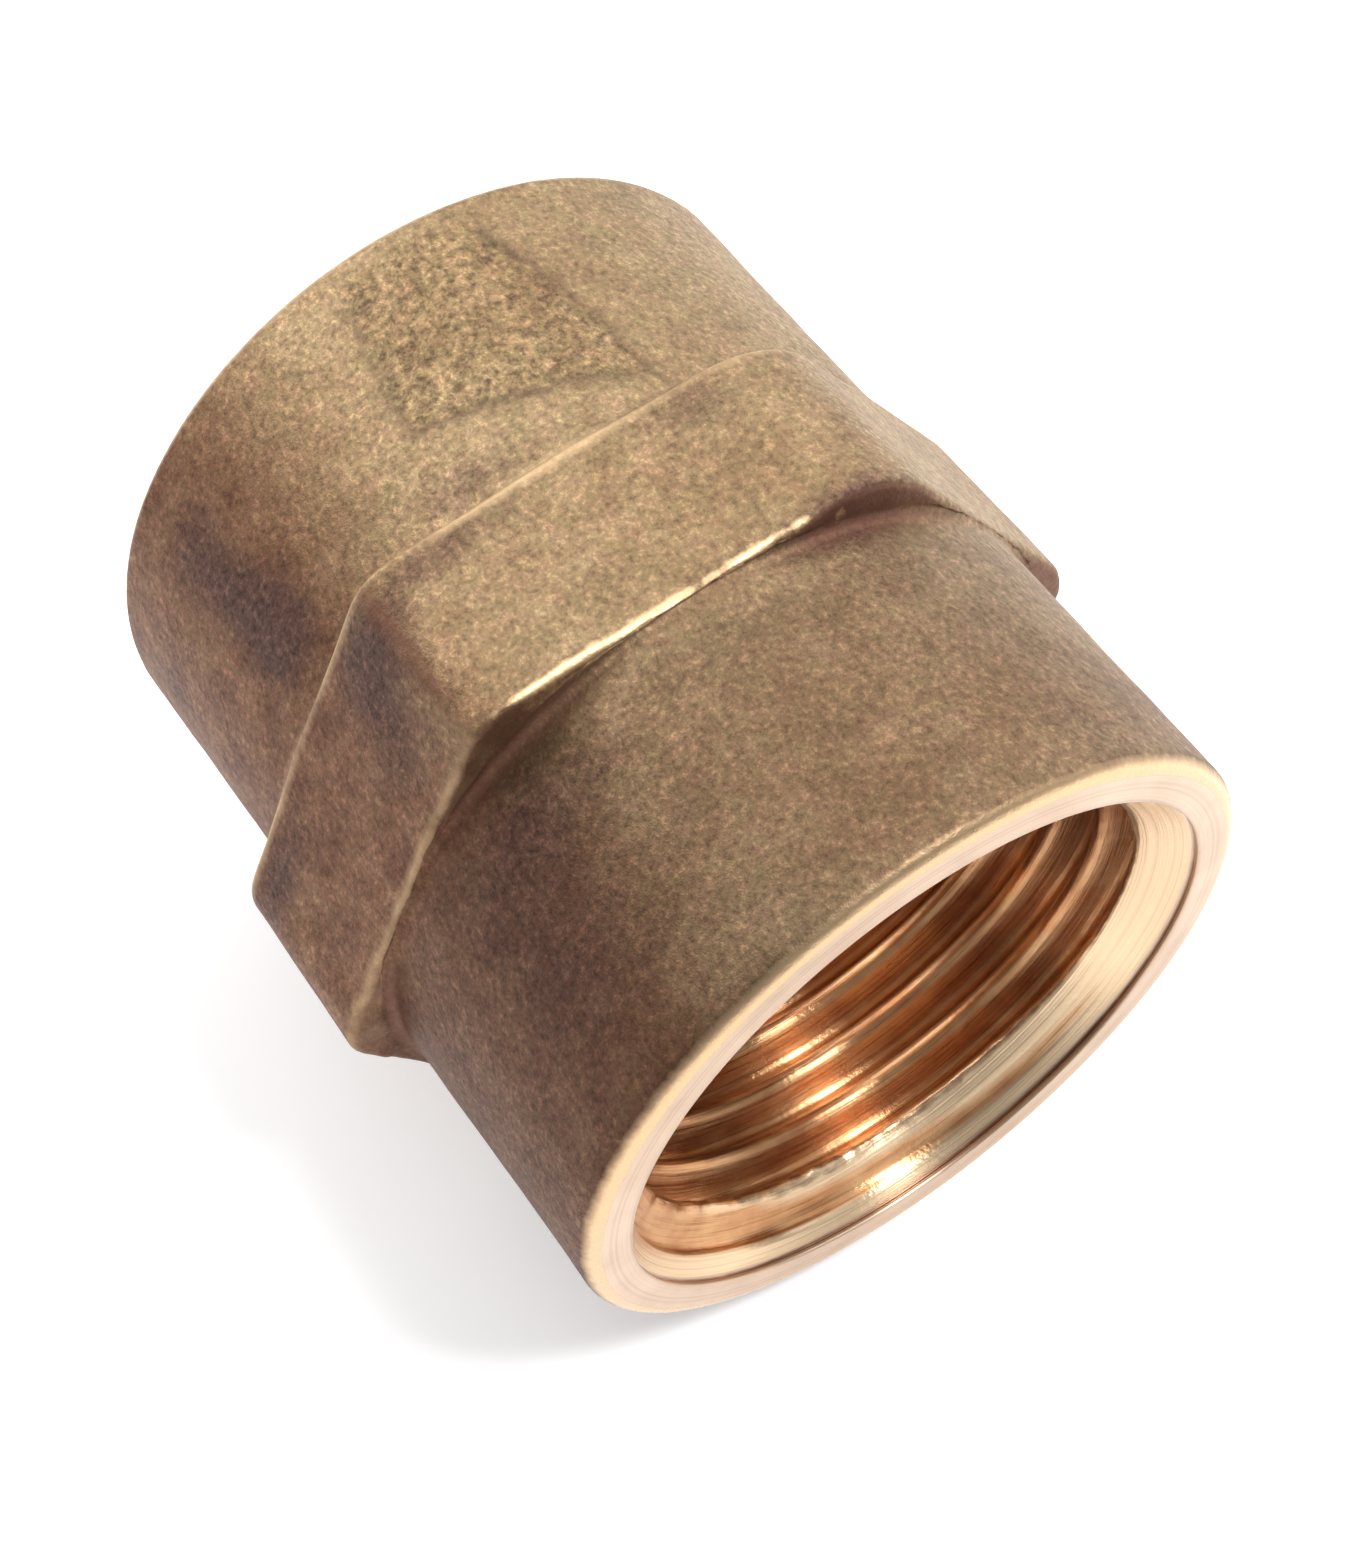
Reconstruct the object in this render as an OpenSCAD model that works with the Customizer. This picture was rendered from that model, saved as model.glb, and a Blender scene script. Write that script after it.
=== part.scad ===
// Hexagon socket fitting, G 1/2 internal thread at both ends.
// Millimetres. The bore runs along X and the part lies on one hexagon flat, so +Z is up.
// The origin is on the bore axis at half the length. +X leaves through the front mouth.

/* [Body] */
// Length over both mouths
body_len = 28.4; // [28.4:0.1:32]
// Outside diameter of both barrels
barrel_d = 25; // [24.6:0.1:25.2]
// Rounding of each barrel's outer edge at the mouth
rim_round = 0.5; // [0.3:0.1:0.8]

/* [Hexagon] */
// Width across flats
hex_af = 25.4; // [25.4:0.1:26]
// Diameter over the rounded corners
hex_corner_d = 28.7; // [28.2:0.1:29]
// Width of the hexagon band along the bore
hex_w = 6.5; // [5:0.1:8]
// How far the corners of the rear shoulder are turned back
shoulder_cut = 0.5; // [0.3:0.1:0.8]

/* [Ports] */
// Thread major diameter
major_d = 20.955; // [20.955:0.001:21.097]
// Thread minor diameter, over its crests
minor_d = 18.631; // [18.631:0.001:19.172]
// Thread roots in each port
groove_count = 6; // [5:1:6]
// Diameter of the recess at each mouth
mouth_d = 21.7; // [21.4:0.1:22]
// Depth of the recess before the countersink starts
mouth_step = 0.35; // [0.2:0.05:0.6]
// Depth of each port, from its mouth to the plain waist
port_depth = 12.6; // [12.6:0.1:13.4]
// Diameter of the plain waist between the two ports
waist_d = 18.2; // [17:0.1:18.4]

/* [Label pad] */
// Height of the blank label pad above the rear barrel
pad_h = 0.12; // [0.08:0.02:0.16]
// Length of the pad along the bore
pad_len = 7.6; // [5:0.1:8]
// Width of the pad round the barrel
pad_w = 10.4; // [8:0.1:12]

/* [Hidden] */
// 14 threads per inch
pitch = 25.4 / 14;
// half angle of the 55 degree thread form
flank_angle = 27.5;
// flat left at each thread root, which stands in for its rounding
root_flat = pitch / 6;
// each groove's cutter runs this far inside the bore wall, so no face is shared
cutter_inset = 0.16;
// depth of the first thread root from the mouth
first_root = 1.05;
barrel_r = barrel_d / 2;
minor_r = minor_d / 2;
mouth_r = mouth_d / 2;
// a 90 degree countersink is as deep as it is wide
sink_depth = mouth_step + mouth_r - minor_r;
// edge break where the hexagon meets its faces
edge_break = 0.2;
// the pad sits this far from the rear mouth, and to one side of the top
pad_from_mouth = 2.6;
pad_turn = 14;

$fn = 96;

// one barrel-shaped solid of revolution about Z, with rounded ends
module turned_barrel() {
    rotate_extrude() {
        translate([0, -body_len / 2])
            square([barrel_r - rim_round, body_len]);
        translate([0, -body_len / 2 + rim_round])
            square([barrel_r, body_len - 2 * rim_round]);
        for (side = [-1, 1])
            translate([barrel_r - rim_round, side * (body_len / 2 - rim_round)])
                circle(r = rim_round);
    }
}

// hexagon band with turned corners and a shallow conical rear shoulder
module hex_band() {
    corner_r = hex_corner_d / 2;
    intersection() {
        rotate([0, 0, 30])
            translate([0, 0, -hex_w / 2])
                cylinder(r = hex_af / 2 / cos(30), h = hex_w, $fn = 6);
        rotate_extrude()
            polygon([
                [0, -hex_w / 2],
                [hex_af / 2, -hex_w / 2],
                [corner_r, -hex_w / 2 + shoulder_cut],
                [corner_r, hex_w / 2 - edge_break],
                [corner_r - edge_break, hex_w / 2],
                [0, hex_w / 2]
            ]);
    }
}

// blank raised pad on the rear barrel, where a size is usually forged in
module label_pad() {
    intersection() {
        translate([0, 0, -body_len / 2 + pad_from_mouth])
            cylinder(r = barrel_r + pad_h, h = pad_len);
        rotate([0, 0, 180 + pad_turn])
            translate([0, -pad_w / 2, -body_len / 2 + pad_from_mouth])
                cube([barrel_r + pad_h, pad_w, pad_len]);
    }
}

// half the width of a thread groove at radius r
function half_w(r) = root_flat / 2 + (major_d / 2 - r) * tan(flank_angle);

// ring grooves for one thread: the mouth is at z = 0 and the body below it
module thread_grooves() {
    inner_r = minor_r - cutter_inset;
    rotate_extrude()
        for (i = [0:groove_count - 1])
            translate([0, -first_root - i * pitch])
                polygon([
                    [inner_r, -half_w(inner_r)],
                    [major_d / 2, -half_w(major_d / 2)],
                    [major_d / 2, half_w(major_d / 2)],
                    [inner_r, half_w(inner_r)]
                ]);
}

// everything cut from one end: the mouth is at z = 0 and the body below it
module port_cut() {
    past = 1;
    translate([0, 0, -mouth_step])
        cylinder(r = mouth_r, h = mouth_step + past);
    translate([0, 0, -sink_depth])
        cylinder(r1 = minor_r, r2 = mouth_r, h = sink_depth - mouth_step);
    translate([0, 0, -port_depth])
        cylinder(r = minor_r, h = port_depth);
    thread_grooves();
}

module socket_body() {
    color([0.62, 0.50, 0.28])
        rotate([0, 90, 0])
            difference() {
                union() {
                    turned_barrel();
                    hex_band();
                    label_pad();
                }
                translate([0, 0, -body_len])
                    cylinder(d = waist_d, h = 2 * body_len);
                translate([0, 0, body_len / 2])
                    port_cut();
                rotate([180, 0, 0])
                    translate([0, 0, body_len / 2])
                        port_cut();
            }
}

socket_body();
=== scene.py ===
from math import atan2, cos, pi, radians, sin, sqrt

import bmesh
import bpy
import numpy as np
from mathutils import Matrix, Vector, noise


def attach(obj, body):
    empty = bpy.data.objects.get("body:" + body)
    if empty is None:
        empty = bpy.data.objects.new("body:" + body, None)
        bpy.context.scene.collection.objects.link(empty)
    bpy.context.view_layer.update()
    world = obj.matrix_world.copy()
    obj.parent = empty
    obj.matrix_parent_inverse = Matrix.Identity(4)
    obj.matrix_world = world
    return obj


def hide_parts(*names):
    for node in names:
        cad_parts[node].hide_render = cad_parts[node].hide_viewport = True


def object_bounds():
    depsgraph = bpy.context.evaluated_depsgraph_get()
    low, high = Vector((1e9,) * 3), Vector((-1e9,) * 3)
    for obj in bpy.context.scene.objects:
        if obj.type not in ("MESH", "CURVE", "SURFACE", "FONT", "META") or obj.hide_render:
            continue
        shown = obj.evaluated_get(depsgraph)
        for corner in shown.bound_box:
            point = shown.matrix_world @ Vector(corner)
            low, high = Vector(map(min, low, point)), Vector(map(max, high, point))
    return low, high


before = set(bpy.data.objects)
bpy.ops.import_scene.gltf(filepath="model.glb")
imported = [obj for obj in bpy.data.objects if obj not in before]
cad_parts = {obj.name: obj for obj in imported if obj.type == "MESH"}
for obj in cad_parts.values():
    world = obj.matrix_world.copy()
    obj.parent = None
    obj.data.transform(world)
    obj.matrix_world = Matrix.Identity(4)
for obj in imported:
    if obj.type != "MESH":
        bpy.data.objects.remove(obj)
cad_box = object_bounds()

# ---------------------------------------------------------------- sizes, mm
LENGTH = 28.4
HALF = LENGTH / 2
BARREL_R = 12.5
REAR_R = 12.56
RIM = 0.55           # rounding of the barrel's outer edge at each mouth
HEX_AP = 12.66       # hexagon apothem
HEX_FRONT = 3.25     # x of the hexagon's front face
HEX_REAR = -3.3      # x of its rear edge in the middle of a flat
ROOT_FILLET = 0.35   # where the front barrel meets the hexagon's front face
FRONT_EDGE = 0.28    # rounding of the hexagon's front edge
REAR_EDGE = 0.25     # length along the bore of its rear edge's rounding
REAR_DROP = 0.35     # and its depth
REAR_ROUND = 0.5     # extra corner rounding at the rear of the hexagon
SHOULDER = 0.35      # length of the cone behind a corner
PITCH = 25.4 / 14
MAJOR_R = 20.955 / 2
MINOR_R = 18.631 / 2
CREST_FLAT = PITCH / 12
MOUTH_R = 10.85
STEP = 0.35          # depth of the mouth's recess
GROOVE_R = MOUTH_R + 0.11   # radius of the shallow groove inside the recess
THREAD_LEN = 12.0    # depth where the thread has faded out
THREAD_FADE = 1.6    # and the length it fades over
PORT_DEPTH = 12.6
WAIST_R = 9.1
FIRST_CREST = 1.76   # depth of the front thread's first crest where it is lowest
CREST_AT = 174.0     # and the angle of that place, from the top
REAR_CLOCK = 45.0    # the rear thread starts this many degrees further round

# lumps of the forged skin, and nicks in the hexagon's front edge: amplitudes
SWELL, PIMPLE, NICK = 0.05, 0.018, 0.10
PAD_DEPTH = 0.07     # the pad and its outline are sunk this much

N_THETA = 256        # columns round the bore, the same on every ring
BARREL_ROWS = 42
FLAT_ROWS = 24
# rows across one turn of the thread, as shares of the pitch
TURN_ROWS = np.array([0.0, 1.5, 3.0, 4.7, 6.4, 8.0, 9.5, 11.0, 12.8, 14.6, 16.3]) / 18.0

MM = 0.001


def smooth(a, b, t):
    t = np.clip((t - a) / (b - a), 0.0, 1.0)
    return t * t * (3 - 2 * t)


def wrap(a):
    return (a + 180.0) % 360.0 - 180.0


def radial(angle):
    """Unit vectors away from the bore at angles in radians from the top."""
    return np.stack([np.zeros(angle.size), np.sin(angle).ravel(), np.cos(angle).ravel()], -1)


def noise3(points, scale, seed, octaves=3):
    """Smooth noise about 0 for an (n, 3) array in mm; scale is the size of a lump in mm."""
    shift = Vector((seed * 17.3, seed * 5.1, seed * 9.7))
    return np.array([
        noise.fractal(Vector(p) / scale + shift, 1.0, 2.0, octaves, noise_basis="PERLIN_ORIGINAL")
        for p in points
    ])


# ------------------------------------------------------- hexagon's outline
# corner rounding in mm, by the corner's angle in degrees from the top
CORNER_ROUND = {30: 4.2, 90: 3.0, 150: 2.0, 210: 2.2, 270: 2.4, 330: 1.6}


def hex_radius(theta, extra=0.0):
    """Radius of the rounded hexagon at angles theta, in degrees from the top."""
    out = np.empty_like(theta)
    for i, t in enumerate(theta):
        flat = round(t / 60.0) * 60.0
        a = t - flat
        corner = flat + (30.0 if a >= 0 else -30.0)
        rho = CORNER_ROUND[int(round(corner)) % 360] + extra
        c = (HEX_AP - rho) / cos(radians(30))
        touch = np.degrees(atan2(c * 0.5, HEX_AP))
        if abs(a) <= touch:
            out[i] = HEX_AP / cos(radians(a))
        else:
            d = radians(corner - t)
            out[i] = c * cos(d) + sqrt(max(rho * rho - (c * sin(d)) ** 2, 0.0))
    return out


# ------------------------------------------------------------- outer skin
def arc_steps(last, count):
    """(sine, cosine) of count - 1 angles from just past 0 up to last, in degrees."""
    return [(sin(radians(a)), cos(radians(a))) for a in np.linspace(0, last, count)[1:]]


def skin_rings(theta):
    """The rings of the forged outside, from the front mouth to the rear one.

    Each ring is (x, r, kind), with x and r a number or one per angle; kind tells the masks what the ring is.
    """
    hexr = hex_radius(theta)
    hexr_rear = hex_radius(theta, REAR_ROUND)
    rings = []
    # turned front face and its rounded outer edge
    for r in np.linspace(MOUTH_R, BARREL_R - RIM, 7):
        rings.append((HALF, r, "face"))
    for s, c in arc_steps(90, 8):
        rings.append((HALF - RIM * (1 - c), BARREL_R - RIM * (1 - s), "rim"))
    # front barrel
    for x in np.linspace(HALF - RIM, HEX_FRONT + ROOT_FILLET, BARREL_ROWS)[1:]:
        rings.append((x, BARREL_R, "barrel"))
    # blend up into the hexagon's front face
    rise = np.maximum(hexr - BARREL_R, 0.02)
    fillet = np.minimum(ROOT_FILLET, rise * 0.7)
    for s, c in arc_steps(90, 6):
        rings.append((HEX_FRONT + ROOT_FILLET * (1 - s), BARREL_R + fillet * (1 - c), "root"))
    inner = BARREL_R + fillet
    edge = np.minimum(FRONT_EDGE, rise * 0.5)
    outer = hexr - edge
    for t in np.linspace(0, 1, 6)[1:]:
        rings.append((HEX_FRONT, inner + (outer - inner) * t, "hexface"))
    for s, c in arc_steps(90, 6):
        rings.append((HEX_FRONT - FRONT_EDGE * (1 - c), hexr - edge * (1 - s), "edge"))
    # flats
    top, low = HEX_FRONT - FRONT_EDGE, HEX_REAR + REAR_EDGE
    for t in np.linspace(0, 1, FLAT_ROWS)[1:]:
        rings.append((top + (low - top) * t, hexr + (hexr_rear - hexr) * t, "flat"))
    # rear shoulder: rounded edge, then a shallow cone down to the barrel
    drop = np.maximum(hexr_rear - REAR_R, 0.02)
    corner = smooth(0.0, 1.6, drop)
    rounding = np.minimum(REAR_DROP, drop * 0.5)
    for s, c in arc_steps(75, 6):
        rings.append((low - REAR_EDGE * s, hexr_rear - rounding * (1 - c), "shoulder"))
    last_x, last_r, _ = rings[-1]
    for t in np.linspace(0, 1, 8)[1:]:
        x = last_x - SHOULDER * t * corner - 0.08 * t
        rings.append((x, last_r + (REAR_R + 0.02 - last_r) * t, "shoulder"))
    # rear barrel
    x0 = rings[-1][0]
    for t in np.linspace(0, 1, BARREL_ROWS)[1:]:
        rings.append((x0 + (-HALF + RIM - x0) * t, REAR_R, "barrel"))
    for a in np.linspace(90, 0, 8)[1:]:
        s, c = sin(radians(a)), cos(radians(a))
        rings.append((-HALF + RIM * (1 - c), REAR_R - RIM * (1 - s), "rim"))
    for r in np.linspace(REAR_R - RIM, MOUTH_R, 7)[1:]:
        rings.append((-HALF, r, "face"))
    return rings


# ---------------------------------------------------------- inside a port
def thread_radius(phase):
    """Radius of the thread's void; phase is the distance in mm from a crest's middle, along the bore."""
    q = np.abs((phase + PITCH / 2) % PITCH - PITCH / 2)
    t = np.clip((q - CREST_FLAT) / (PITCH / 2 - CREST_FLAT - CREST_FLAT), 0, 1)
    # the flanks are straight, with small roundings at crest and root
    return MINOR_R + (MAJOR_R - MINOR_R) * (t - 0.035 * np.sin(2 * pi * t))


def port_grid(theta):
    """(depth, radius) arrays for one port, rows following the helix and clipped at both ends."""
    first = -int(FIRST_CREST / PITCH) - 2
    last = int(PORT_DEPTH / PITCH) + 2
    offset = FIRST_CREST - CREST_FLAT
    rows = np.array([offset + (k + p) * PITCH for k in range(first, last) for p in TURN_ROWS])
    helix = PITCH * (theta - CREST_AT) / 360.0
    depth = np.clip(rows[:, None] + helix[None, :], STEP, PORT_DEPTH)
    r = thread_radius(depth - (FIRST_CREST + helix[None, :]))
    # the thread fades out near its inner end
    r = r + (MINOR_R - r) * smooth(THREAD_LEN - THREAD_FADE, THREAD_LEN, depth)
    return depth, np.maximum(r, countersink(depth))


def countersink(depth):
    """Radius of the 90 degree countersink at a depth below the mouth."""
    return MOUTH_R - (depth - STEP)


def grid_faces(rows, cols, base, flip, close):
    """Quads of a grid of rows x cols vertices; close joins the last column to the first."""
    quads = []
    span = cols if close else cols - 1
    for j in range(rows - 1):
        for i in range(span):
            a = base + j * cols + i
            b = base + j * cols + (i + 1) % cols
            c, d = b + cols, a + cols
            quads.append((a, d, c, b) if flip else (a, b, c, d))
    return quads


MASKS = ("wear", "ridge", "front", "crease", "pad", "pad_line", "dirt", "brown", "turned")
SKIN, TURNED, THREAD = 0, 1, 2

verts, faces, slots = [], [], []
masks = {name: [] for name in MASKS}


def add_block(points, quads, slot_of, **mask):
    verts.append(points)
    faces.extend(quads)
    slots.extend(slot_of)
    for name in MASKS:
        masks[name].append(mask.get(name, np.zeros(len(points))))


# outside
theta = np.arange(N_THETA) * 360.0 / N_THETA
rings = skin_rings(theta)
kinds = [kind for _, _, kind in rings]
X = np.array([np.broadcast_to(x, theta.shape) for x, _, _ in rings])
R = np.array([np.broadcast_to(r, theta.shape) for _, r, _ in rings])
TH = np.broadcast_to(theta, X.shape)
P = np.stack([X, R * np.sin(np.radians(TH)), R * np.cos(np.radians(TH))], -1).reshape(-1, 3)
nicks = noise3(14 * radial(np.radians(theta)), 0.9, 11, 3) * NICK
edge_rows = np.array([kind in ("edge", "hexface") for kind in kinds], float)
P[:, 0] += (edge_rows[:, None] * nicks[None, :]).ravel()
# the turned faces stay flat, and the rims nearly so
weight = np.repeat([{"face": 0.0, "rim": 0.35}.get(kind, 1.0) for kind in kinds], N_THETA)
swell = noise3(P, 7.0, 1, 2) * SWELL + noise3(P, 1.7, 2, 2) * PIMPLE
away = radial(np.radians(TH))
P = P + away * (swell * weight)[:, None]
quads = grid_faces(len(rings), N_THETA, 0, True, True)
slot_of = []
for j in range(len(rings) - 1):
    slot = TURNED if kinds[j] == kinds[j + 1] == "face" else SKIN
    slot_of += [slot] * N_THETA

# places on the skin, for the masks: mm along the bore, degrees from the top, mm round the barrel
ring_kind = np.repeat(np.array(kinds), N_THETA)
tw = wrap(TH.ravel())
xs = X.ravel()
arc = np.radians(tw) * BARREL_R
hex_r = np.tile(hex_radius(theta), len(rings))


def blob(x0, t0, sx, st, lean=0.0):
    """Soft round mask at x0 mm along the bore and t0 degrees from the top; sx and st are in mm."""
    u = xs - x0
    v = wrap(tw - t0) * pi / 180 * BARREL_R - lean * u
    return np.exp(-(u / sx) ** 2 - (v / st) ** 2)


def line(d, width):
    return np.exp(-(d / width) ** 2)


# rubbed bare edges: the hexagon's front and rear edges; and a painted highlight, a bright line on its front face by
# the upper right corner
on_hex = np.isin(ring_kind, ("edge", "flat", "shoulder"))
on_front = np.isin(ring_kind, ("edge", "flat", "hexface"))
front_line = np.where(on_front, line(xs - (HEX_FRONT - 0.14), 0.17), 0)
rear_line = np.where(on_hex, line(xs - (HEX_REAR + 0.10), 0.22), 0)
around = noise3(
    np.stack([xs * 0.2, 12 * np.cos(np.radians(tw)), 12 * np.sin(np.radians(tw))], -1), 2.2, 5, 3
)
proud = np.where(hex_r > BARREL_R + 0.1, 1, 0)
on_top = smooth(-33.5, -29.5, tw) * smooth(23, 17, tw)
on_left = smooth(-29, -33, tw) * smooth(-100, -88, tw)
# painted highlight: a bright line where the upper right corner meets the front face
flash = 0.9 * line(arc - 5.35, 0.13) * smooth(2.6, 2.9, xs) * smooth(4.0, 3.5, xs)
# rubbed bare metal along the front edge on top, with the painted highlight line added to the same mask
wear = front_line * on_top * (0.35 + 0.65 * smooth(-0.5, 0.05, around)) * proud
wear += flash
rear_amount = 0.35 + 0.65 * smooth(-100, -85, tw) * smooth(45, 20, tw)
ridge = rear_line * rear_amount + front_line * on_left * 0.8
ridge = ridge * proud * (0.45 + 0.55 * smooth(-0.6, 0.1, around))

# turned metal: both faces, running out over the rims
rim_share = np.clip((np.abs(xs) - (HALF - RIM)) / RIM, 0, 1) ** 1.4
turned = np.maximum(np.where(ring_kind == "face", 1.0, 0.0), rim_share)

# painted shade in the creases where the barrels meet the hexagon and over the hexagon's front face, darker on its
# right; and a dark line beside its upper left corner
tall = smooth(0.15, 1.2, hex_r - BARREL_R)
crease = np.where(xs > HEX_FRONT - 0.1, line(xs - HEX_FRONT - 0.05, 0.55), 0) * (0.25 + 0.6 * tall)
# painted shade over the whole front face of the hexagon, darker on its right
crease = np.where(ring_kind == "hexface", 0.62 + 0.38 * smooth(17, 24, tw), crease)
# painted shade in the crease behind the hexagon as well
crease_rear = np.where(xs < HEX_REAR, line(xs - HEX_REAR + 0.3, 0.5), 0) * 0.12
corner_line = line(wrap(tw + 31.5) * pi / 180 * 14, 0.24) * np.where(on_hex, 1, 0)
corner_line = corner_line * smooth(2.6, 0.5, xs) * 1.1

# blank label pad on the rear barrel: a shape with slanted sides, and its outline, which is sunk and darkened with
# painted shade
pad_left = -3.2 + 0.19 * np.clip(-7.6 - xs, 0, 9)
pad_right = 4.1 - 0.24 * np.clip(-6.8 - xs, 0, 9)
pad_front = -7.0 + 0.33 * (arc + 3.05)
pad_rear = -13.2
inside = np.minimum(
    np.minimum(arc - pad_left, pad_right - arc),
    np.minimum(pad_front - xs, xs - pad_rear),
)
inside = np.where(ring_kind == "barrel", inside, -5)
pad = smooth(-0.15, 0.25, inside)
pad_line = line(inside, 0.21) * np.where(xs > -12.6, 1, 0)
pad_line = pad_line * (0.55 + 0.45 * smooth(-0.3, 0.4, around))

# dark patches, mostly stains, one of them painted shade: amount, then blob()'s x0, t0, sx, st and lean
DIRT = (
    (1.0, -8.2, -51, 2.2, 1.3, 0.25),
    (1.1, -5.9, -49, 1.5, 1.7),
    (0.55, -11.0, -52, 1.3, 1.7),
    (0.55, -10.4, -80, 1.6, 1.8),
    (1.1, -1.6, -37, 1.4, 1.7),
    (0.55, 0.8, -41, 1.6, 1.8),
    (0.8, -2.0, -80, 1.0, 2.4),
    (0.5, -4.4, -13, 1.0, 1.9, 0.8),
    # painted shade on the hexagon's front face by its upper right corner
    (0.95, 3.4, 26, 0.7, 2.4),
    (0.5, -2.3, 17, 0.8, 1.5),
    (0.6, -2.5, -21, 0.8, 1.8, -0.5),
    (0.65, 5.4, -38, 1.8, 3.2),
    (0.55, 9.4, -45, 2.8, 3.2),
    (0.8, -7.5, 165, 1.8, 1.6),
    (0.7, 8.4, 128, 1.5, 2.2),
    (0.6, -1.0, 205, 1.8, 2.0),
)
dirt = sum(amount * blob(*place) for amount, *place in DIRT)
# browner and darker on the left side, less so low on the right and over the front barrel: partly a browner tone of
# the metal, partly painted shade on the sides turned away from the lamps
brown = smooth(-18, -48, tw) * smooth(-150, -95, tw) + 0.35 * smooth(60, 120, tw) * smooth(200, 150, tw)
brown = np.clip(brown + 0.22 * smooth(2.5, 6.0, xs), 0, 1)
# painted shade: the front barrel is darkened, less on its right side
front = smooth(2.6, 5.0, xs) * (1.0 - 0.4 * smooth(30, 75, tw) * smooth(150, 100, tw))
P = P - away * (PAD_DEPTH * pad + PAD_DEPTH * pad_line)[:, None]
add_block(
    P, quads, slot_of,
    wear=wear, ridge=ridge, front=front, crease=np.clip(crease + crease_rear + corner_line, 0, 1),
    pad=pad, pad_line=pad_line, dirt=np.clip(dirt, 0, 1), brown=brown, turned=turned,
)

# ports: the recess and the groove in its wall, the countersink and thread, then the plain waist
LEAD = ((0.0, MOUTH_R), (0.17, MOUTH_R), (0.21, GROOVE_R), (0.29, GROOVE_R))
TAIL = ((PORT_DEPTH, WAIST_R), (HALF, WAIST_R))
turn = np.linspace(0, 360, N_THETA + 1)
base = len(P)
for side, clock in ((1, 0.0), (-1, REAR_CLOCK)):
    depth, r = port_grid(turn)
    d = np.vstack([np.full_like(turn, q) for q, _ in LEAD] + [depth] + [np.full_like(turn, q) for q, _ in TAIL])
    rr = np.vstack([np.full_like(turn, q) for _, q in LEAD] + [r] + [np.full_like(turn, q) for _, q in TAIL])
    ang = np.radians(np.broadcast_to(turn, d.shape)) * side + radians(clock)
    pts = np.stack([side * (HALF - d), rr * np.sin(ang), rr * np.cos(ang)], -1).reshape(-1, 3)
    # torn edge where the thread runs out into the countersink, and faint waves along the thread
    torn = noise3(pts, 0.45, 7, 2) * 0.10 * np.exp(-((d.ravel() - 2.0) / 0.4) ** 2)
    waves = noise3(pts, 1.3, 8, 2) * 0.02 * smooth(1.5, 2.5, d.ravel())
    pts = pts + radial(ang) * (torn + waves)[:, None]
    # painted shade: the groove in the recess's wall, and a dark ring where the thread starts
    groove = np.where((d > 0.17) & (d < 0.32), 1.0, 0.0)
    start = np.exp(-((rr - (MINOR_R + 0.10)) / 0.10) ** 2) * np.where(d < 2.3, 1.0, 0.0) * 0.8
    cone = smooth(0.07, 0.0, rr - countersink(d)) * np.where(d < 2.2, 1.0, 0.0)
    slot_of = []
    for j in range(len(d) - 1):
        slot_of += [TURNED if j < len(LEAD) else THREAD] * N_THETA
    add_block(
        pts, grid_faces(*d.shape, base, False, False), slot_of,
        crease=np.maximum(groove, start).ravel(), turned=cone.ravel(),
    )
    base += len(pts)

mesh = bpy.data.meshes.new("socket")
mesh.from_pydata((np.vstack(verts) * MM).tolist(), [], faces)
for name, parts in masks.items():
    layer = mesh.attributes.new(name, "FLOAT", "POINT")
    layer.data.foreach_set("value", np.concatenate(parts).astype(np.float32))
mesh.polygons.foreach_set("material_index", np.array(slots, np.int32))
mesh.polygons.foreach_set("use_smooth", np.ones(len(faces), bool))
mesh.update()
body = bpy.data.objects.new("socket", mesh)
bpy.context.scene.collection.objects.link(body)

# join the skin and the ports into one closed mesh, and drop the rows clipped to nothing
bm = bmesh.new()
bm.from_mesh(mesh)
bmesh.ops.remove_doubles(bm, verts=bm.verts, dist=2e-7)
bmesh.ops.dissolve_degenerate(bm, edges=bm.edges, dist=1e-8)
bmesh.ops.recalc_face_normals(bm, faces=bm.faces)
bm.to_mesh(mesh)
bm.free()
mesh.update()


# ------------------------------------------------------------- materials
def nodes_of(name):
    m = bpy.data.materials.new(name)
    m.use_nodes = True
    t = m.node_tree
    t.nodes.clear()
    out = t.nodes.new("ShaderNodeOutputMaterial")
    bsdf = t.nodes.new("ShaderNodeBsdfPrincipled")
    t.links.new(bsdf.outputs[0], out.inputs[0])
    return m, t, bsdf


def coord_mm(t):
    c = t.nodes.new("ShaderNodeTexCoord")
    v = t.nodes.new("ShaderNodeVectorMath")
    v.operation = "SCALE"
    v.inputs["Scale"].default_value = 1000.0
    t.links.new(c.outputs["Object"], v.inputs[0])
    return v.outputs[0]


def noise_tex(t, co, scale, detail=3.0, rough=0.55, offset=None):
    n = t.nodes.new("ShaderNodeTexNoise")
    n.inputs["Scale"].default_value = scale
    n.inputs["Detail"].default_value = detail
    n.inputs["Roughness"].default_value = rough
    if offset is not None:
        a = t.nodes.new("ShaderNodeVectorMath")
        a.operation = "ADD"
        a.inputs[1].default_value = offset
        t.links.new(co, a.inputs[0])
        co = a.outputs[0]
    t.links.new(co, n.inputs["Vector"])
    return n.outputs["Fac"]


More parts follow.
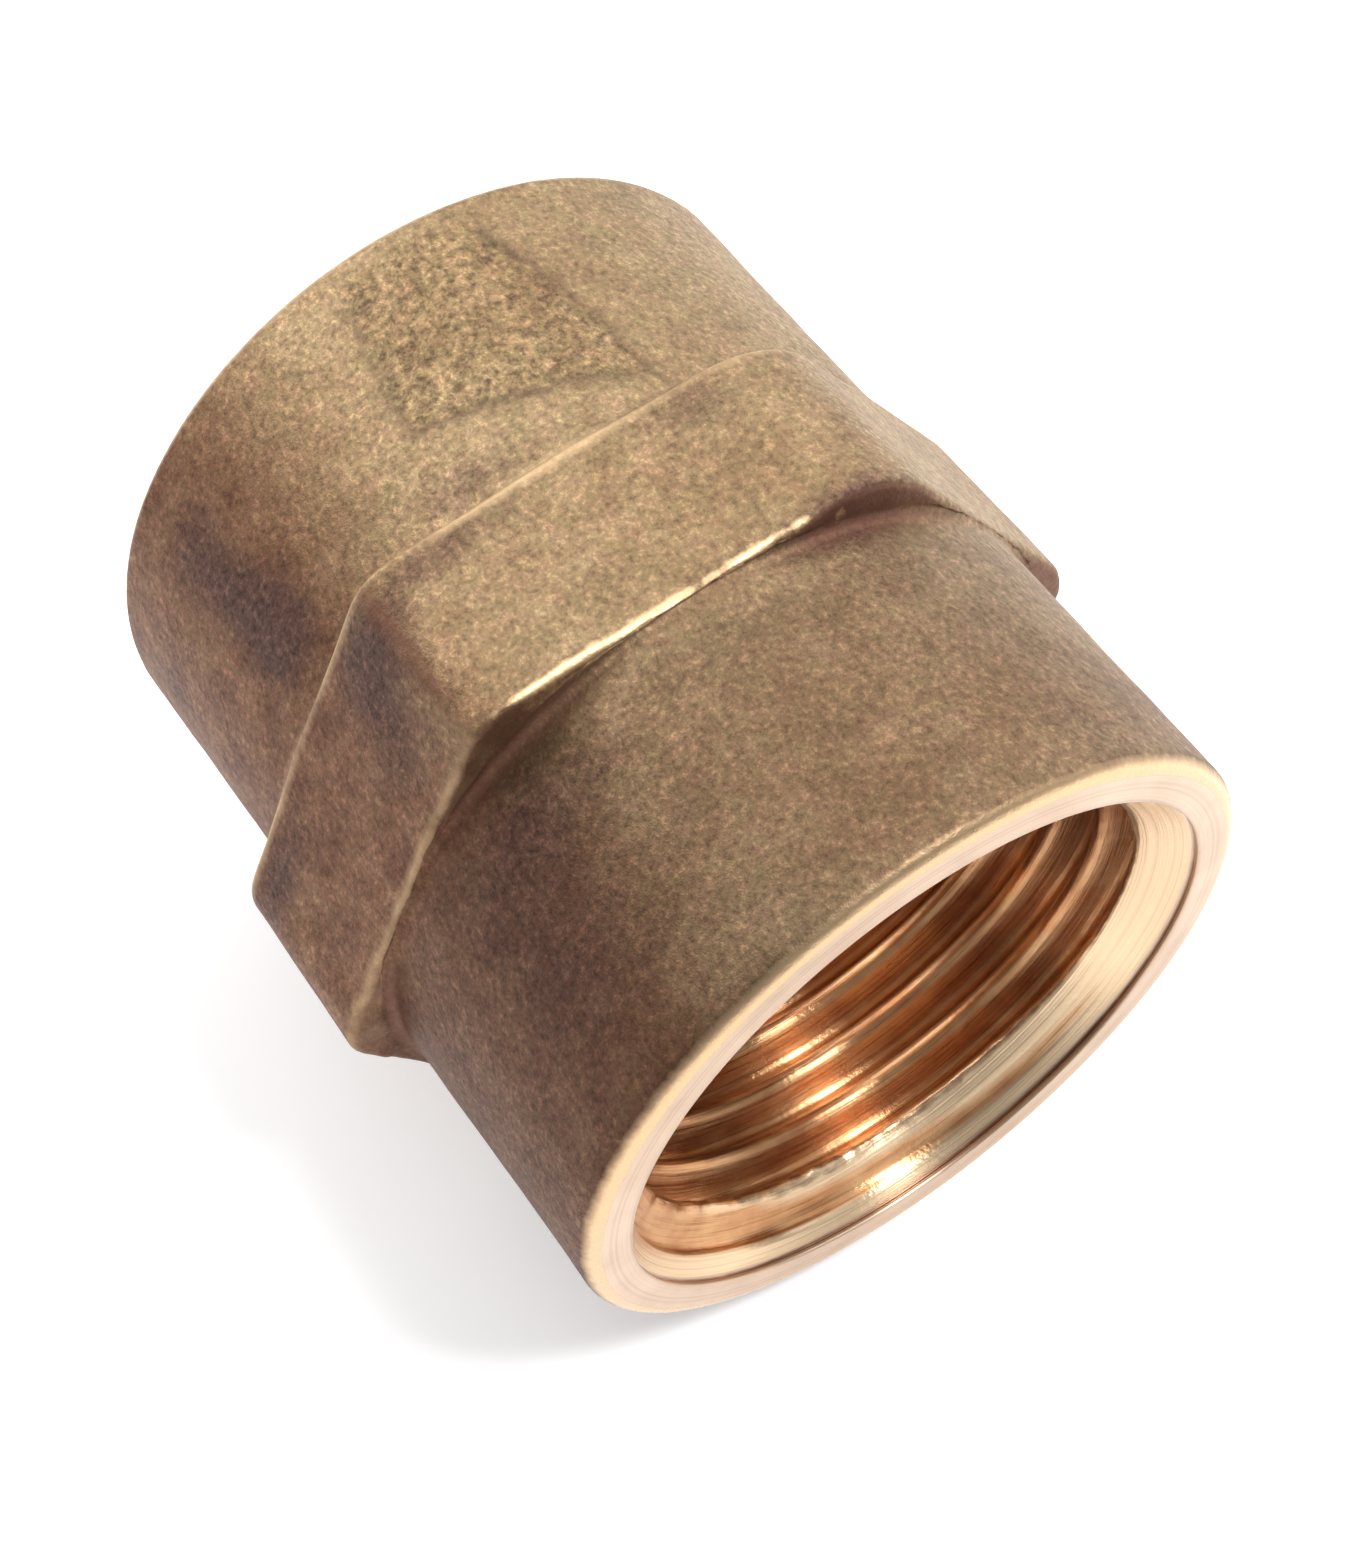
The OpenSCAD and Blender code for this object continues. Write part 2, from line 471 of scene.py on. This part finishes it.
def ramp(t, fac, *stops):
    """Colour ramp through (position, colour) stops."""
    r = t.nodes.new("ShaderNodeValToRGB")
    e = r.color_ramp.elements
    while len(e) > 1:
        e.remove(e[-1])
    e[0].position, e[0].color = stops[0][0], (*stops[0][1], 1)
    for p, c in stops[1:]:
        e.new(p).color = (*c, 1)
    t.links.new(fac, r.inputs[0])
    return r.outputs[0]


def mix_col(t, fac, a, b, mode="MIX"):
    m = t.nodes.new("ShaderNodeMix")
    m.data_type = "RGBA"
    m.blend_type = mode
    for sock, v in ((m.inputs[0], fac), (m.inputs[6], a), (m.inputs[7], b)):
        if isinstance(v, bpy.types.NodeSocket):
            t.links.new(v, sock)
        elif isinstance(v, (int, float)):
            sock.default_value = v
        else:
            sock.default_value = (*v, 1)
    return m.outputs[2]


def tinted(t, fac, col, tint):
    """col, multiplied by tint as far as fac says."""
    return mix_col(t, fac, col, mix_col(t, 1.0, col, tint, "MULTIPLY"))


def math(t, op, a, b=None):
    m = t.nodes.new("ShaderNodeMath")
    m.operation = op
    for i, v in enumerate((a, b)):
        if v is None:
            continue
        if isinstance(v, (int, float)):
            m.inputs[i].default_value = v
        else:
            t.links.new(v, m.inputs[i])
    return m.outputs[0]


def remap(t, v, a, b, lo=0.0, hi=1.0):
    m = t.nodes.new("ShaderNodeMapRange")
    m.clamp = True
    for i, x in ((1, a), (2, b), (3, lo), (4, hi)):
        m.inputs[i].default_value = x
    t.links.new(v, m.inputs[0])
    return m.outputs[0]


def attr(t, name):
    a = t.nodes.new("ShaderNodeAttribute")
    a.attribute_name = name
    return a.outputs["Fac"]


def frayed(t, name, fray, amount, lo, hi, middle=0.5):
    """The mask called name with its border broken up by the noise fray, then stretched from lo..hi to 0..1."""
    rough = math(t, "MULTIPLY", math(t, "SUBTRACT", fray, middle), amount)
    return remap(t, math(t, "ADD", attr(t, name), rough), lo, hi)


def bump(t, height, strength, distance):
    b = t.nodes.new("ShaderNodeBump")
    b.inputs["Strength"].default_value = strength
    b.inputs["Distance"].default_value = distance
    t.links.new(height, b.inputs["Height"])
    return b.outputs[0]


def lathe_coords(t, co):
    """(distance from the bore's axis, place along it), which turning marks are drawn in."""
    sep = t.nodes.new("ShaderNodeSeparateXYZ")
    t.links.new(co, sep.inputs[0])
    x, y, z = sep.outputs
    squares = math(t, "ADD", math(t, "MULTIPLY", y, y), math(t, "MULTIPLY", z, z))
    comb = t.nodes.new("ShaderNodeCombineXYZ")
    t.links.new(math(t, "SQRT", squares), comb.inputs[0])
    t.links.new(x, comb.inputs[1])
    return comb.outputs[0]


def lathe_marks(t, bsdf, amount):
    """Stretch the shine across the turning marks, which run round the bore's axis."""
    tangent = t.nodes.new("ShaderNodeTangent")
    tangent.direction_type = "RADIAL"
    tangent.axis = "X"
    t.links.new(tangent.outputs[0], bsdf.inputs["Tangent"])
    bsdf.inputs["Anisotropic"].default_value = amount
    bsdf.inputs["Anisotropic Rotation"].default_value = 0.25


def skin_material():
    m, t, bsdf = nodes_of("forged_skin")
    co = coord_mm(t)
    big = noise_tex(t, co, 0.13, 4, 0.6)
    mid = noise_tex(t, co, 0.75, 4, 0.65, (31, 7, 3))
    hue = noise_tex(t, co, 1.9, 3, 0.6, (21, 6, 14))
    grain = noise_tex(t, co, 4.0, 4, 0.8, (3, 11, 5))
    coarse = noise_tex(t, co, 2.8, 3, 0.7, (13, 1, 25))
    edge = noise_tex(t, co, 1.6, 3, 0.7, (9, 9, 1))
    pad_m = attr(t, "pad")

    # brass, browned and darkened in places, partly with painted shade
    col = ramp(t, mid, (0.28, (0.236, 0.166, 0.094)), (0.5, (0.292, 0.208, 0.118)), (0.72, (0.350, 0.252, 0.148)))
    col = mix_col(t, 0.8, col, ramp(t, big, (0.36, (0.84, 0.76, 0.74)), (0.56, (1.0, 1.0, 1.0))), "MULTIPLY")
    # the browner tone, with painted shade on the left side, low on the right and on the front barrel
    brown_m = math(t, "MULTIPLY", attr(t, "brown"), remap(t, mid, 0.3, 0.7, 1.0, 0.7))
    col = tinted(t, brown_m, col, (0.57, 0.36, 0.36))
    col = mix_col(t, 1.0, col, ramp(t, hue, (0.36, (1.03, 0.96, 0.98)), (0.62, (0.97, 1.00, 0.93))), "MULTIPLY")
    # painted shade over the front barrel
    col = tinted(t, attr(t, "front"), col, (0.73, 0.72, 0.74))

    # the blasted grain, coarser on the pad
    speck = ramp(
        t, grain,
        (0.34, (0.42, 0.39, 0.39)), (0.47, (0.88, 0.88, 0.88)), (0.56, (1.10, 1.10, 1.08)), (0.66, (1.9, 1.85, 1.75)),
    )
    col = mix_col(t, 0.68, col, speck, "MULTIPLY")
    rough_pad = ramp(
        t, coarse, (0.34, (0.36, 0.33, 0.31)), (0.48, (0.80, 0.79, 0.76)), (0.66, (1.30, 1.27, 1.18))
    )
    col = tinted(t, math(t, "MULTIPLY", pad_m, 0.85), col, rough_pad)

    # stains, and painted shade in the creases and along the pad's outline; then bare metal, with a painted highlight
    # line
    # stains, and a patch of painted shade by the hexagon's upper right corner
    dirt_m = frayed(t, "dirt", edge, 0.9, 0.12, 0.85)
    dirt_col = mix_col(t, 1.0, speck, (0.096, 0.050, 0.039), "MULTIPLY")
    col = mix_col(t, math(t, "MULTIPLY", dirt_m, 0.92), col, dirt_col)
    # painted shade along the pad's outline
    col = mix_col(t, math(t, "MULTIPLY", attr(t, "pad_line"), 0.8), col, (0.085, 0.055, 0.034))
    # painted shade in the creases by the hexagon and over its front face
    crease_m = frayed(t, "crease", edge, 0.5, 0.05, 0.95)
    col = mix_col(t, math(t, "MULTIPLY", crease_m, 0.8), col, (0.185, 0.086, 0.056))
    ridge_m = frayed(t, "ridge", edge, 0.6, 0.1, 0.9)
    col = mix_col(t, math(t, "MULTIPLY", ridge_m, 0.6), col, (0.62, 0.44, 0.25))
    # rubbed bare metal, and the painted highlight line on the hexagon's front face
    worn = frayed(t, "wear", edge, 1.1, 0.25, 0.75, 0.55)
    col = mix_col(t, worn, col, (0.84, 0.59, 0.34))
    turned_m = frayed(t, "turned", edge, 0.35, 0.15, 0.75)
    col = mix_col(t, turned_m, col, (0.68, 0.47, 0.27))
    t.links.new(col, bsdf.inputs["Base Color"])
    bsdf.inputs["Metallic"].default_value = 0.9

    bare = math(t, "MAXIMUM", turned_m, math(t, "MULTIPLY", worn, 0.5))
    rough = math(t, "SUBTRACT", remap(t, grain, 0.3, 0.7, 0.64, 0.50), math(t, "MULTIPLY", bare, 0.30))
    t.links.new(rough, bsdf.inputs["Roughness"])
    h = math(t, "ADD", math(t, "MULTIPLY", grain, 0.8), math(t, "MULTIPLY", mid, 0.7))
    h = math(t, "ADD", h, math(t, "MULTIPLY", math(t, "MULTIPLY", coarse, pad_m), 1.4))
    h = math(t, "MULTIPLY", h, math(t, "SUBTRACT", 1.0, math(t, "MULTIPLY", turned_m, 0.85)))
    t.links.new(bump(t, h, 0.6, 0.00008), bsdf.inputs["Normal"])
    return m


def turned_material():
    m, t, bsdf = nodes_of("turned_brass")
    co = coord_mm(t)
    lines = noise_tex(t, lathe_coords(t, co), 6.0, 3, 0.7)
    cloud = noise_tex(t, co, 0.5, 3, 0.5)
    broken = noise_tex(t, co, 1.1, 3, 0.6, (4, 4, 9))
    col = ramp(t, cloud, (0.3, (0.60, 0.44, 0.32)), (0.7, (0.70, 0.53, 0.40)))
    scored = ramp(t, lines, (0.34, (0.72, 0.66, 0.60)), (0.5, (1.0, 1.0, 1.0)))
    col = mix_col(t, 0.7, col, scored, "MULTIPLY")
    # painted shade in the groove of the recess
    groove_m = frayed(t, "crease", broken, 0.6, 0.35, 1.0)
    col = mix_col(t, math(t, "MULTIPLY", groove_m, 0.85), col, (0.20, 0.09, 0.05))
    t.links.new(col, bsdf.inputs["Base Color"])
    bsdf.inputs["Metallic"].default_value = 1.0
    t.links.new(remap(t, lines, 0.3, 0.7, 0.30, 0.42), bsdf.inputs["Roughness"])
    t.links.new(bump(t, lines, 0.6, 0.00004), bsdf.inputs["Normal"])
    lathe_marks(t, bsdf, 0.6)
    return m


def thread_material():
    """The cut thread, and the paler countersink in front of it."""
    m, t, bsdf = nodes_of("cut_thread")
    co = coord_mm(t)
    lines = noise_tex(t, lathe_coords(t, co), 7.0, 3, 0.7)
    cloud = noise_tex(t, co, 0.6, 3, 0.5)
    broken = noise_tex(t, co, 2.4, 3, 0.6, (4, 4, 9))
    marks = noise_tex(t, co, 6.0, 2, 0.6, (2, 8, 5))
    col = ramp(t, cloud, (0.3, (0.54, 0.26, 0.12)), (0.7, (0.74, 0.45, 0.23)))
    scored = ramp(t, lines, (0.34, (0.62, 0.52, 0.46)), (0.5, (1.0, 1.0, 1.0)))
    col = mix_col(t, 0.8, col, scored, "MULTIPLY")
    pale = mix_col(t, 0.55, (0.83, 0.63, 0.41), scored, "MULTIPLY")
    col = mix_col(t, attr(t, "turned"), col, pale)
    # painted shade along the edge where the thread starts
    groove_m = frayed(t, "crease", broken, 1.0, 0.35, 1.0)
    col = mix_col(t, math(t, "MULTIPLY", groove_m, 0.85), col, (0.18, 0.08, 0.045))
    t.links.new(col, bsdf.inputs["Base Color"])
    bsdf.inputs["Metallic"].default_value = 1.0
    t.links.new(remap(t, lines, 0.3, 0.7, 0.26, 0.38), bsdf.inputs["Roughness"])
    h = math(t, "ADD", lines, math(t, "MULTIPLY", marks, 0.3))
    t.links.new(bump(t, h, 0.8, 0.00004), bsdf.inputs["Normal"])
    lathe_marks(t, bsdf, 0.85)
    return m


# in the order of SKIN, TURNED and THREAD
for make in (skin_material, turned_material, thread_material):
    mesh.materials.append(make())

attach(body, "root")
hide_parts("socket_body")


# ------------------------------------------------- floor, lights, camera
scene = bpy.context.scene

bpy.ops.mesh.primitive_plane_add(size=3.0, location=(0, 0, cad_box[0][2]))
floor = bpy.context.object
floor.name = "floor"
floor_mat, _, floor_shader = nodes_of("floor_white")
floor_shader.inputs["Base Color"].default_value = (0.92, 0.915, 0.92, 1)
floor_shader.inputs["Roughness"].default_value = 0.9
# a slight glow, so that the floor reaches white in the render
floor_shader.inputs["Emission Color"].default_value = (1.0, 0.985, 1.0, 1)
floor_shader.inputs["Emission Strength"].default_value = 0.20
floor.data.materials.append(floor_mat)


def area(name, place, size, power):
    """Square soft light at place in metres, aimed at the origin."""
    data = bpy.data.lights.new(name, "AREA")
    data.shape = "RECTANGLE"
    data.size = data.size_y = size
    data.energy = power
    ob = bpy.data.objects.new(name, data)
    ob.location = place
    ob.rotation_euler = (-Vector(place)).to_track_quat("-Z", "Y").to_euler()
    scene.collection.objects.link(ob)


area("left_back", (-0.230, -0.131, 0.197), 0.2, 0.55)
area("back", (-0.264, 0.0, 0.198), 0.2, 0.50)
area("right_back", (-0.168, 0.201, 0.201), 0.2, 0.30)
area("right", (0.0, 0.264, 0.198), 0.2, 0.38)
area("streak", (0.135, 0.117, 0.305), 0.07, 0.90)
area("side", (-0.03, 0.32, 0.07), 0.12, 0.16)

world = bpy.data.worlds.new("studio")
scene.world = world
world.use_nodes = True
sky = world.node_tree.nodes["Background"]
sky.inputs["Color"].default_value = (1, 1, 1, 1)
sky.inputs["Strength"].default_value = 0.35

cam_data = bpy.data.cameras.new("camera")
cam_data.lens = 64.6
cam_data.sensor_width = 36.0
cam_data.clip_start = 0.005
cam = bpy.data.objects.new("camera", cam_data)
cam.location = (0.04268, -0.02062, 0.07947)
cam.rotation_euler = (radians(29.655), radians(4.961), radians(55.413))
scene.collection.objects.link(cam)
scene.camera = cam
scene.view_settings.view_transform = "Standard"
